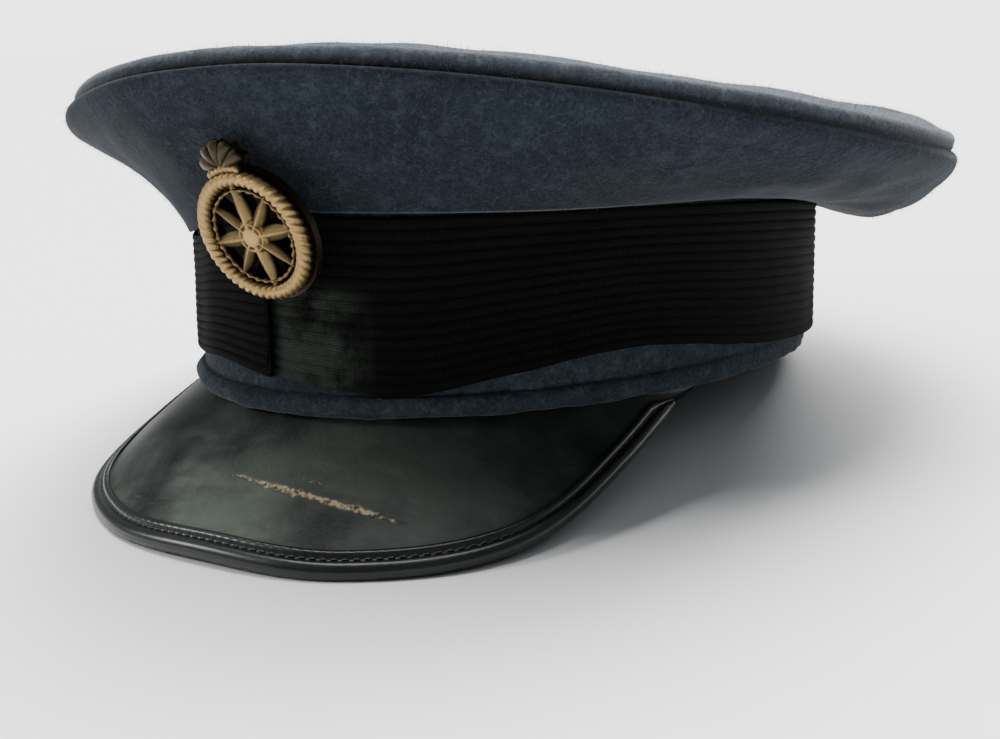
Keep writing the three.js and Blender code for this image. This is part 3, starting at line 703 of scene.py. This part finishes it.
sections += outward_normals(sections, False) * (np.abs(bulging) * 0.6)[..., None]
sections[..., 0] += fray
window_at = np.clip((at + 1) / 2, 0, 1) * np.clip((17 - at) / 5, 0, 1)
faded = window_at * np.clip((0.62 - (up - low) / (top - low)) / 0.1, 0, 1)
# painted highlight: the thread tops are lighter towards the wearer's right of the front, where light
# grazes the ribs
painted_rib_highlight = 0.35 + 0.65 * bell(from_front, -18, 14) + 0 * up
grooves = np.hstack([ridge + 0 * at, np.ones((len(at), 6))])
strip = sewn_surface("ribbed_band", on_the_table(sections), False,
                     dict(faded=faded, ridge=grooves, painted_rib_highlight=painted_rib_highlight))

# Braid: ribs run along it, crossed by fine threads; thread tops are painted lighter as a highlight
# where they catch the light, most towards the wearer's right of the front, grooves are black, and
# where it has faded the threads are grey-green.
braid, given = effect("braid", ("Black", "Thread", "Faded"))
cut = node(braid, "ShaderNodeUVMap", {}, uv_map="cut").outputs[0]
threads, warp = (
    node(braid, "ShaderNodeTexWave", {
        "Vector": cut, "Scale": scale, "Distortion": bend, "Detail": 2.0, "Detail Scale": 2.0},
        bands_direction=way).outputs["Fac"]
    for way, scale, bend in (("X", 480.0, 1.2), ("Y", 520.0, 1.5)))
wear = noise(braid, place_in(braid), 90.0, 5.0, 0.65)
shine = times(braid, steps(braid, mark(braid, "ridge"), 0.5, 1.0),
              times(braid, steps(braid, threads, 0.3, 0.9), mark(braid, "painted_rib_highlight")))
colour = mix(braid, times(braid, shine, steps(braid, wear, 0.3, 0.65)), given["Black"], given["Thread"])
patch = times(braid, mark(braid, "faded"), steps(braid, wear, 0.3, 0.6),
              plus(braid, 0.45, times(braid, warp, 0.55)))
hand_out(braid, mix(braid, patch, colour, given["Faded"]), between(braid, wear, 0.65, 0.9),
         plus(braid, threads, times(braid, warp, 0.5)))
ribbed = finish("ribbed_band", braid, {
    "Black": (0.0030, 0.0031, 0.0030, 1), "Thread": (0.012, 0.012, 0.010, 1),
    "Faded": (0.030, 0.037, 0.030, 1)}, 0.00012, Specular_IOR_Level=0.02)
strip.data.materials.append(ribbed)
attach(strip, "root")
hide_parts("cap_band")

# ---------------------------------------------------------------- peak
# One thickness of black leather, cut to a crescent and moulded so that it falls away in front. It
# is sewn under the rim. Its finish has worn to grey-green, and a crease has split it in front.

PEAK_THICKNESS = 2.2
PEAK_HALF_SPAN = 68.0
PEAK_ROOT = 2.2
PEAK_TUCK = 4.0
PEAK_FORM = columns(
    "at width slope",
    (-0.25, 41.4, 37.6), (0, 39.8, 38.4), (0.25, 41.4, 37.6), (0.5, 36.2, 37.2), (0.75, 16.0, 42.0),
    (0.9, 5.0, 50.0), (1, 0.5, 60.0))
# the crease: shares of the span and of the width, how wide it gapes in mm, and how bright it is
CREASE = np.array([
    (-0.055, 0.503, 0.35, 0.5), (-0.030, 0.500, 0.45, 0.6), (0.008, 0.503, 0.6, 0.7),
    (0.045, 0.518, 0.85, 0.9), (0.075, 0.530, 1.1, 1.0), (0.133, 0.548, 1.2, 0.95),
    (0.165, 0.566, 1.0, 0.9), (0.198, 0.588, 1.2, 1.0), (0.255, 0.635, 1.2, 1.0),
    (0.285, 0.668, 0.9, 0.8), (0.318, 0.710, 0.5, 0.5), (0.340, 0.735, 0.25, 0.2)])
SCRATCH = np.array([
    (0.100, 0.445, 0.3, 0.4), (0.130, 0.452, 0.35, 0.5), (0.165, 0.468, 0.35, 0.45),
    (0.195, 0.484, 0.4, 0.5), (0.205, 0.492, 0.2, 0.2)])


def peak_frame(share):
    """At a share of the peak's span: the root under the rim, and the unit ways along the peak and
    out of its upper face, turned down from the level by the table's slope."""
    turn = np.radians(PEAK_HALF_SPAN * share)
    root = beside_head(turn, PEAK_ROOT, rim_bottom(turn) - GAP)
    outward = beside_head(turn, 1.0, 0.0) - beside_head(turn, 0.0, 0.0)
    slope = np.radians(smooth_rows(PEAK_FORM, "slope", np.abs(share)))[..., None]
    up = np.array([0.0, 0.0, 1.0])
    along = outward * np.cos(slope) - up * np.sin(slope)
    normal = outward * np.sin(slope) + up * np.cos(slope)
    return root, outward, along, normal, smooth_rows(PEAK_FORM, "width", np.abs(share))


def near_line(points, line):
    """For each point the distance to a line of corners, and the line's values at the foot of the
    perpendicular, mixed by the share along that link."""
    best = np.full(points.shape[:-1], 1e9)
    values = np.zeros(points.shape[:-1] + (line.shape[1] - 3,))
    for from_, to in zip(line[:-1], line[1:]):
        way = to[:3] - from_[:3]
        s = np.clip((points - from_[:3]) @ way / (way @ way), 0, 1)
        gap = np.linalg.norm(points - from_[:3] - s[..., None] * way, axis=-1)
        closer = gap < best
        best = np.where(closer, gap, best)
        found = from_[3:] + s[..., None] * (to[3:] - from_[3:])
        values = np.where(closer[..., None], found, values)
    return best, values


def on_the_peak(share, width_share):
    """Points of the peak's upper face."""
    root, _, along, _, width = peak_frame(share)
    return root + along * (width * width_share)[..., None]


share = graded((-1, -0.92, 12), (-0.92, -0.1, 150), (-0.1, 0.38, 220), (0.38, 0.92, 100),
               (0.92, 1, 12))
root, outward, along, normal, width = peak_frame(share)
reaches = graded((0, 0.42, 26), (0.42, 0.76, 56), (0.76, 1, 14))
upper = root[:, None] + along[:, None] * (width[:, None] * reaches)[..., None]
lifted = 0.7 * np.sin(np.pi * reaches) * np.clip(width / 30, 0, 1)[:, None]
lifted = lifted + 0.25 * soft_waves(upper, 35, 41) * np.sin(np.pi * reaches)
crease, graze = (np.hstack([on_the_peak(line[:, 0], line[:, 1]), line[:, 2:]])
                 for line in (CREASE, SCRATCH))
ragged = upper + 0.225 * np.stack([soft_waves(upper, 2.2, seed) for seed in (42, 43, 44)], -1)
gap, value = near_line(upper, crease)
hump = value[..., 1] * bell(gap, 0, 2.2)


def opened(line):
    """How far a ragged line gapes at each point of the upper face, and how bright it is there."""
    gap, value = near_line(ragged, line)
    wide = np.clip(1 - gap / np.maximum(value[..., 0], 0.05), 0, 1)
    return wide, wide * value[..., 1]


open_, bright = opened(crease)
_, scratch = opened(graze)
lifted = lifted + 0.35 * hump - 0.3 * np.clip(open_ * 1.6, 0, 1) - 0.1 * scratch
upper = upper + normal[:, None] * lifted[..., None]
rubbed = (0.16 + 0.95 * bell(share[:, None], -0.05, 0.42) * (0.25 + 0.75 * reaches)
          + 0.35 * bell(share[:, None], -0.75, 0.25))
tuck = root - outward * PEAK_TUCK
below = root[:, None] + along[:, None] * (width[:, None] * np.linspace(1, 0, 24))[..., None]
below = below - normal[:, None] * PEAK_THICKNESS
sections = np.concatenate([tuck[:, None], upper, below, tuck[:, None] - [0, 0, PEAK_THICKNESS]], 1)
pad = ((0, 0), (1, 25))
peak = sewn_surface("peak_leather", on_the_table(sections), False, dict(
    split=np.pad(np.maximum(bright, scratch), pad), crease=np.pad(hump, pad),
    rubbed=np.pad(rubbed, pad, mode="edge")))

# Worn leather: a dark glazed skin with a fine pebbled grain, rubbed to a dull grey-green in
# clouds, with fine scratches, and tan flesh where the crease has split it.
hide, given = effect("worn_leather", ("Skin", "Rubbed", "Flesh"), ("Rubbing", "Gloss", "Split"))
place = place_in(hide)
clouds = noise(hide, place, 26.0, 6.0, 0.62)
smears = streaks(hide, place, (0.2, 0.0, 0.4), (60.0, 200.0, 160.0), 4.0)
pebbles = node(hide, "ShaderNodeTexVoronoi", {"Vector": place, "Scale": 1100.0}).outputs["Distance"]
nicks = streaks(hide, place, (0.3, 0.1, 0.9), (70.0, 1500.0, 900.0), 2.0)
rubbing = times(hide, given["Rubbing"], plus(
    hide, steps(hide, clouds, 0.38, 0.66, 0.8), steps(hide, smears, 0.5, 0.75, 0.3)))
scratched = times(hide, steps(hide, nicks, 0.66, 0.74), given["Rubbing"])
colour = mix(hide, rubbing, given["Skin"], given["Rubbed"])
colour = mix(hide, times(hide, scratched, 0.35), colour, given["Rubbed"])
torn = steps(hide, noise(hide, place, 900.0), 0.42, 0.62)
tan = mix(hide, torn, given["Flesh"], (0.035, 0.030, 0.024, 1))
splits = steps(hide, given["Split"], 0.12, 0.5)
hand_out(hide, mix(hide, splits, colour, tan),
         plus(hide, given["Gloss"], times(hide, rubbing, 0.2), times(hide, splits, 0.4),
              times(hide, scratched, 0.1)),
         plus(hide, times(hide, pebbles, 0.5), times(hide, clouds, 2.0), times(hide, scratched, -0.5)))
leather = finish("leather", hide, {
    "Skin": (0.005, 0.006, 0.006, 1), "Rubbed": (0.104, 0.124, 0.102, 1),
    "Flesh": (0.36, 0.29, 0.18, 1), "Rubbing": "rubbed", "Split": "split", "Gloss": 0.46}, 0.00012,
    Coat_Weight=0.03, Coat_Roughness=0.3, Specular_IOR_Level=0.2)
peak.data.materials.append(leather)
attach(peak, "root")
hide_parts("peak")

# ---------------------------------------------------------------- peak binding
# A strip of glazed black leather folded over the peak's edge: a round bead outside, a stitched
# groove, then a narrow raised band. Its thread is waxed linen, gone grey.

BINDING_THICKNESS = 0.9
BINDING_LEG = 5.2
BINDING_SPAN = 0.92
BINDING_CLEAR = 2.5
BEAD = PEAK_THICKNESS / 2 + GAP + BINDING_THICKNESS
STITCH_LENGTH, STITCH_PITCH = 1.9, 2.5
STITCH_IN, STITCH_UP = 2.9, 0.52

share = np.linspace(-BINDING_SPAN, BINDING_SPAN, 420)
root, outward, along, normal, width = peak_frame(share)
edge = root + along * width[:, None]
leg = np.minimum(BINDING_LEG, width - BINDING_CLEAR)
# from the leg's end outwards over the top: shares of the leg, and heights above the peak's face
TOP = np.array([(1.0, 0.30), (0.995, 0.62), (0.96, 0.86), (0.90, 1.06), (0.83, 1.16), (0.76, 1.12),
                (0.69, 0.94), (0.63, 0.66), (0.57, 0.42), (0.51, 0.40), (0.45, 0.62)])
arc = np.linspace(np.pi * 0.60, -np.pi / 2, 26)
bead_in = GAP + BINDING_THICKNESS - BEAD + BEAD * np.cos(arc)
bead_up = BEAD * np.sin(arc) - PEAK_THICKNESS / 2
under = -PEAK_THICKNESS - GAP - BINDING_THICKNESS
rest = np.array([(-0.5, under + 0.05), (-0.8, under + 0.1), (-0.98, under + 0.15),
                 (-1.0, under + 0.5), (-0.98, -PEAK_THICKNESS - GAP)])
into = np.concatenate([-TOP[:, 0], np.zeros(len(arc)), rest[:, 0]])
reach_in = into[None, :] * leg[:, None]
reach_in[:, len(TOP):len(TOP) + len(arc)] = bead_in * np.clip(leg / 3, 0.4, 1)[:, None]
height = np.concatenate([TOP[:, 1], bead_up, rest[:, 1]])[None, :] + 0 * reach_in
inside = np.array([(0.1, -PEAK_THICKNESS - 0.25), (0.25, -PEAK_THICKNESS / 2), (0.1, 0.2)])
reach_in = np.hstack([reach_in, inside[:, 0] + 0 * leg[:, None]])
height = np.hstack([height, inside[:, 1] + 0 * leg[:, None]])
sections = (edge[:, None] + along[:, None] * reach_in[..., None]
            + normal[:, None] * height[..., None])
run = run_round(edge)[:-1]
puckers = 0.04 * np.sin(run * 2 * np.pi / STITCH_PITCH)
sections[:, 3:8] += normal[:, None] * puckers[:, None, None]
binding = sewn_surface("peak_binding_leather", on_the_table(sections), False)
glazed = finish("binding", hide, {
    "Skin": (0.004, 0.005, 0.005, 1), "Rubbed": (0.015, 0.018, 0.016, 1), "Rubbing": 0.5,
    "Gloss": 0.32}, 0.00006, Coat_Weight=0.22, Coat_Roughness=0.2, Specular_IOR_Level=0.3)
binding.data.materials.append(glazed)
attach(binding, "root")
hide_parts("peak_binding")

stitch_at = np.interp(np.arange(3, run[-1] - 3, STITCH_PITCH), run, share)
root, outward, along, normal, width = peak_frame(stitch_at)
leg = np.minimum(BINDING_LEG, width - BINDING_CLEAR)
middle = root + along * (width - leg * STITCH_IN / BINDING_LEG)[:, None] + normal * STITCH_UP
ahead = peak_frame(stitch_at + 0.001)
tangent = unit((ahead[0] + ahead[2] * ahead[4][:, None]) - (root + along * width[:, None]))
sideways = np.cross(normal, tangent)
# each stitch is a spindle of four rings of six points: thick in the middle, ends sunk
RINGS = np.array([(-0.5, 0.10, -0.22), (-0.25, 0.24, 0.0), (0.25, 0.24, 0.0), (0.5, 0.10, -0.22)])
angle = np.arange(6) * np.pi / 3
rings = (middle[:, None, None] + tangent[:, None, None] * (RINGS[:, 0, None, None] * STITCH_LENGTH)
         + normal[:, None, None] * (RINGS[:, 2, None] + RINGS[:, 1, None] * np.sin(angle))[..., None]
         + sideways[:, None, None] * (RINGS[:, 1, None] * np.cos(angle))[..., None])
base = np.arange(len(middle))[:, None] * 24
k, k2 = np.arange(6), (np.arange(6) + 1) % 6
quads = [np.stack([base + r * 6 + k, base + r * 6 + k2, base + r * 6 + 6 + k2, base + r * 6 + 6 + k], -1)
         for r in range(3)]
faces = np.concatenate(quads).reshape(-1, 4).tolist()
faces += (base + np.arange(6)[::-1]).tolist() + (base + 18 + np.arange(6)).tolist()
mesh = bpy.data.meshes.new("stitches")
mesh.from_pydata(on_the_table(rings.reshape(-1, 3)).tolist(), [], faces)
stitches = in_the_scene("binding_stitches", mesh)
stitches.data.materials.append(
    mottled("thread", 700.0, (0.006, 0.007, 0.006, 1), (0.035, 0.036, 0.030, 1), Roughness=0.6))
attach(stitches, "root")

# ---------------------------------------------------------------- badge
# Stamped brass, soldered together: an openwork plate with a twisted rope round it, eight ridged
# rays, a beaded boss and a little fan on top. A slider behind it goes down inside the black band.

BADGE_LEAN, BADGE_TURN = np.radians(21), np.radians(9)
BADGE_FOOT = np.array([7.0, -110.4, 23.4])
BADGE_THICKNESS = 1.6
OVAL = 15.8


def on_the_badge(points):
    """The plate's own frame has x across, y up from its lowest point and z to the front. It is
    turned about z by BADGE_TURN, stood up and leant forward by 90 degrees plus BADGE_LEAN about x,
    and moved to its foot."""
    x, y, z = np.moveaxis(points, -1, 0)
    cos, sin = np.cos(BADGE_TURN), np.sin(BADGE_TURN)
    x, y = x * cos - y * sin, x * sin + y * cos
    cos, sin = np.cos(np.pi / 2 + BADGE_LEAN), np.sin(np.pi / 2 + BADGE_LEAN)
    y, z = y * cos - z * sin, y * sin + z * cos
    return np.stack([x, y, z], -1) + BADGE_FOOT


parts = []


def relief(name, sections, ring, polish=1.0):
    """One more part of the relief, with its height above the plate, times how far hands have
    polished it, kept as an attribute."""
    raised = np.clip((sections[..., 2] - BADGE_THICKNESS + 0.5) / 2.2, 0, 1) * polish
    parts.append(sewn_surface(name, on_the_table(on_the_badge(sections)), ring, dict(raised=raised)))


def spoke(angle, centre, out, across, high):
    """Points at distances out from a centre on the plate's middle line, and across that way."""
    return np.stack([out * np.sin(angle) + across * np.cos(angle),
                     centre + out * np.cos(angle) - across * np.sin(angle), high], -1)


# the rope: a circle of circles whose radius swells three times round, turning as it goes
along, about = np.meshgrid(np.linspace(0, 2 * np.pi, 300, endpoint=False),
                           np.linspace(0, 2 * np.pi, 20, endpoint=False), indexing="ij")
thick = 1.45 + 0.42 * np.abs(np.cos(1.5 * (about - 16 * along)))
far = OVAL - 2.2 + thick * np.cos(about)
relief("rope", np.stack([far * np.sin(along), OVAL - far * np.cos(along),
                         BADGE_THICKNESS + 0.2 + thick * np.sin(about)], -1), True)
# an inner ring of beads
far = OVAL - 4.9 + (0.42 + 0.14 * np.cos(30 * along)) * np.cos(about)
high = BADGE_THICKNESS + 0.1 + (0.75 + 0.2 * np.cos(30 * along)) * np.sin(about)
relief("beads", np.stack([far * np.sin(along), OVAL - far * np.cos(along), high], -1), True)
# eight rays: each a ridge, widest at a third of its way from the boss, longer ones up and down
for number in range(8):
    angle = number * np.pi / 4
    s = np.linspace(0, 1, 26)[:, None]
    long, widest = ((11.2, 1.9), (10.2, 1.45))[number % 2]
    half = widest * np.sin(np.pi * np.clip(0.22 + 0.74 * s, 0, 1))**0.9 + 0.12
    profile = np.array([(-1, -0.6), (-1, 0.0), (-0.72, 0.34), (-0.42, 0.52), (-0.12, 1.0),
                        (0.12, 1.0), (0.42, 0.52), (0.72, 0.34), (1, 0.0), (1, -0.6)])
    across = profile[:, 0] * half
    out = 1.5 + s * long + 0 * across
    high = BADGE_THICKNESS + profile[:, 1] * (1.5 - 0.7 * s)
    relief("ray", spoke(angle, OVAL, out, across, high), False)
# the boss: a dome turned about the plate's middle, with a groove round it
s = np.linspace(0, 1, 30)[:, None]
far = 4.2 * s
dome = BADGE_THICKNESS + 1.7 * np.sqrt(1 - (0.985 * s)**2) + 0.35 * np.exp(-((s - 0.78) / 0.07)**2)
dome = dome - 0.5 * np.exp(-((s - 0.62) / 0.06)**2)
angle = np.linspace(0, 2 * np.pi, 64, endpoint=False)
top = spoke(angle, OVAL, far, 0, dome + 0 * angle)
foot = top[::-6] * [1, 1, 0] + [0, 0, BADGE_THICKNESS - 0.4]
boss = np.concatenate([top, foot], 0).transpose(1, 0, 2)
relief("boss", boss, True)
# the fan: five lobes side by side, each a rounded ridge, over a collar
for number in range(5):
    angle = (number - 2) * np.pi / 5.2
    s = np.linspace(0, 1, 20)[:, None]
    half = 0.35 + 1.35 * np.sqrt(np.clip(1 - (1.6 * s - 1.0)**2 / 1.2, 0, 1)) * s**0.5
    half = half * np.sqrt(np.clip(1 - (np.maximum(s - 0.8, 0) / 0.2)**2, 0, 1)) + 0.05
    profile = np.linspace(-1, 1, 11)
    across = profile * half
    out = 0.4 + s * 5.9 + 0 * across
    high = BADGE_THICKNESS + 0.1 + 1.5 * np.sqrt(1 - profile**2) * np.sin(np.pi * (0.18 + 0.7 * s))
    lobe = spoke(angle, OVAL * 2 + 0.4, out, across, high)
    back = lobe[:, ::-1] * [1, 1, 0] + [0, 0, BADGE_THICKNESS - 0.6]
    relief("lobe", np.concatenate([lobe, back], 1), False, 0.3)
s = np.linspace(-1, 1, 40)[:, None]
about = np.linspace(0, 2 * np.pi, 14, endpoint=False)
size = 1.05 + 0.12 * np.cos(7 * np.pi * s)
collar = np.stack([s * 4.6 + 0 * about, OVAL * 2 + 0.3 - 0.9 * s**2 + size * np.cos(about),
                   BADGE_THICKNESS + 0.3 + size * np.sin(about)], -1)
relief("collar", collar, False)

bpy.ops.object.select_all(action="DESELECT")
for part in parts:
    part.select_set(True)
bpy.context.view_layer.objects.active = parts[0]
bpy.ops.object.join()
badge_relief = bpy.context.object
badge_relief.name = "badge_relief"

# Old brass: warm where hands have rubbed the high places, brown and dull elsewhere, almost black
# in the recesses, with a few green-brown spots.
metal, given = effect("old_brass", ("Bright", "Brown", "Recess"), ("Raised",))
place = place_in(metal)
blotches = noise(metal, place, 260.0, 5.0, 0.6)
fine = noise(metal, place, 1500.0, 3.0, 0.6)
up = plus(metal, given["Raised"], times(metal, blotches, 0.5))
colour = mix(metal, steps(metal, up, 0.48, 0.85), given["Recess"], given["Brown"])
colour = mix(metal, steps(metal, up, 0.88, 1.3), colour, given["Bright"])
hand_out(metal, colour, between(metal, blotches, 0.6, 0.36), plus(metal, fine, blotches))
brass = finish("brass", metal, {
    "Bright": (0.30, 0.200, 0.076, 1), "Brown": (0.15, 0.101, 0.040, 1),
    "Recess": (0.030, 0.022, 0.012, 1), "Raised": "raised"}, 0.0001, Metallic=0.9)
badge_relief.data.materials.clear()
badge_relief.data.materials.append(brass)
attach(badge_relief, "root")

plate_brass = finish("badge_plate", metal, {
    "Bright": (0.36, 0.25, 0.115, 1), "Brown": (0.15, 0.100, 0.045, 1),
    "Recess": (0.020, 0.014, 0.008, 1), "Raised": 0.12}, 0.0001, Metallic=0.9)
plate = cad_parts["badge"]
plate.data.materials.clear()
plate.data.materials.append(plate_brass)
